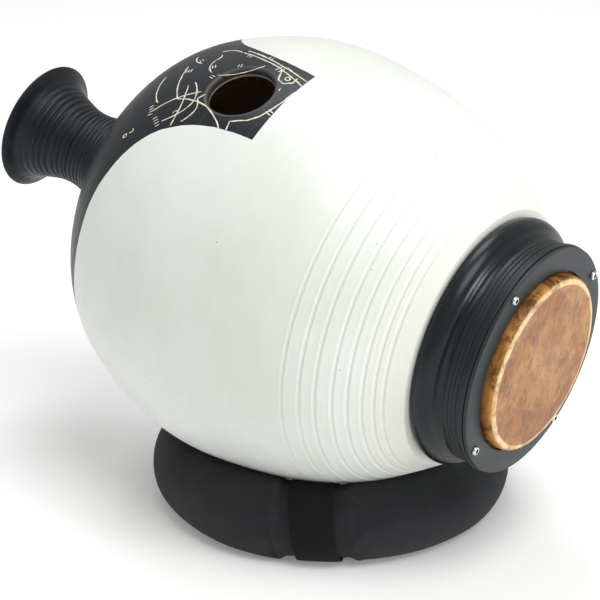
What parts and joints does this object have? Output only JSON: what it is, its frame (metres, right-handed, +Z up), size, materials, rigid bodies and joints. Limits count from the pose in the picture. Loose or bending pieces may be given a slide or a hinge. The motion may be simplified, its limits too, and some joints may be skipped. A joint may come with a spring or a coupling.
{
  "type": "ceramic hand drum",
  "caption": "Round ceramic hand drum with a flared neck, a side sound hole and a screwed skin head, lying on its side in a padded ring cushion.",
  "frame": {"origin": "centre of the whole object's footprint, on the floor that the ring cushion stands on", "axes": "+Z up; +X horizontally along the drum, from the neck to the skin head; the head end lies 7.9 degrees lower; the sound hole leans to -Y"},
  "size_m": [0.5166, 0.3416, 0.3705],
  "materials": {
    "slip_white": "satin white slip, burnished, with fine incised rings; charcoal slip over the neck end and around the sound hole",
    "slip_black": "satin charcoal slip over throwing ribs",
    "lacquer_black": "turned wood under satin black lacquer",
    "hoop_black": "black stained hardwood hoop, matte",
    "clamp_black": "matte grey-black paint, worn bright on the edge",
    "goat_skin": "natural amber skin, mottled, satin",
    "beech": "plain beech, oiled",
    "rubber_black": "matte",
    "steel": "stainless steel, satin",
    "brass": "plain brass",
    "cover_fabric": "dark grey brushed cloth",
    "foam": "open-cell foam",
    "strap_fabric": "black hook-and-loop tape"
  },
  "bodies": {
    "cushion": {"cushion_cover": "cover_fabric", "cushion_core": "foam", "closure_strap": "strap_fabric"},
    "drum": {"vessel_body": "slip_white", "neck": "slip_black", "mouth_seal": "rubber_black", "collar_ring": "lacquer_black", "base_hoop": "hoop_black", "spacer_hoop": "hoop_black", "bearing_ring": "beech", "skin_head": "goat_skin", "flesh_hoop": "beech", "insert_1": "brass", "insert_2": "brass", "insert_3": "brass", "insert_4": "brass"},
    "clamp": {"clamp_ring": "clamp_black"},
    "screw_1": {"clamp_screw_1": "steel"},
    "screw_2": {"clamp_screw_2": "steel"},
    "screw_3": {"clamp_screw_3": "steel"},
    "screw_4": {"clamp_screw_4": "steel"}
  },
  "joints": [
    {"name": "drum_lift", "type": "slide", "parent": "cushion", "child": "drum", "axis": [0, 0, 1], "range_m": [0, 0.2]},
    {"name": "clamp_travel", "type": "slide", "parent": "drum", "child": "clamp", "axis": [0.9905, 0, -0.1374], "range_m": [0, 0.0056]},
    {"name": "screw_1_turn", "type": "hinge", "parent": "clamp", "child": "screw_1", "pos_m": [0.2502, -0.04831, 0.23645], "axis": [0.9905, 0, -0.1374], "range_deg": [0, 2880]},
    {"name": "screw_2_turn", "type": "hinge", "parent": "clamp", "child": "screw_2", "pos_m": [0.23415, -0.06848, 0.12078], "axis": [0.9905, 0, -0.1374], "range_deg": [0, 2880]},
    {"name": "screw_3_turn", "type": "hinge", "parent": "clamp", "child": "screw_3", "pos_m": [0.23138, 0.04831, 0.1008], "axis": [0.9905, 0, -0.1374], "range_deg": [0, 2880]},
    {"name": "screw_4_turn", "type": "hinge", "parent": "clamp", "child": "screw_4", "pos_m": [0.24743, 0.06848, 0.21647], "axis": [0.9905, 0, -0.1374], "range_deg": [0, 2880]}
  ],
  "couplings": [
    {"joint": "screw_1_turn", "follows": "clamp_travel", "rad_per_m": 8976},
    {"joint": "screw_2_turn", "follows": "clamp_travel", "rad_per_m": 8976},
    {"joint": "screw_3_turn", "follows": "clamp_travel", "rad_per_m": 8976},
    {"joint": "screw_4_turn", "follows": "clamp_travel", "rad_per_m": 8976}
  ]
}
